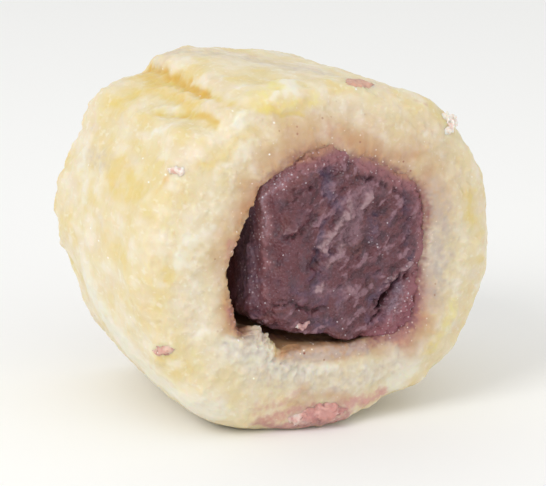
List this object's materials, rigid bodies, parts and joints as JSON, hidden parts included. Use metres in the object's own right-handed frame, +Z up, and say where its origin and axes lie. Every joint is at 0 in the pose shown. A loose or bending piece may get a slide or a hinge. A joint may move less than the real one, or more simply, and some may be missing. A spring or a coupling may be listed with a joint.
{
  "type": "sweet bean paste roll piece",
  "caption": "Short piece cut from a soft pale yellow dough roll, wrapped round a rounded-square bar of dark sweet red bean paste that shows at both cut ends.",
  "frame": {"origin": "under the middle of the piece, on the surface that it rests on", "axes": "+Z up, -Y out of the front cut, along the roll, +X to the right as the front cut is seen"},
  "size_m": [0.0372, 0.0288, 0.0334],
  "materials": {
    "dough": "moist, soft, finely grained dough with a faint sheen",
    "bean_paste": "moist, dense, finely grained paste with small glints"
  },
  "bodies": {
    "root": {"dough_wrap": "dough", "bean_bar": "bean_paste"}
  },
  "joints": []
}
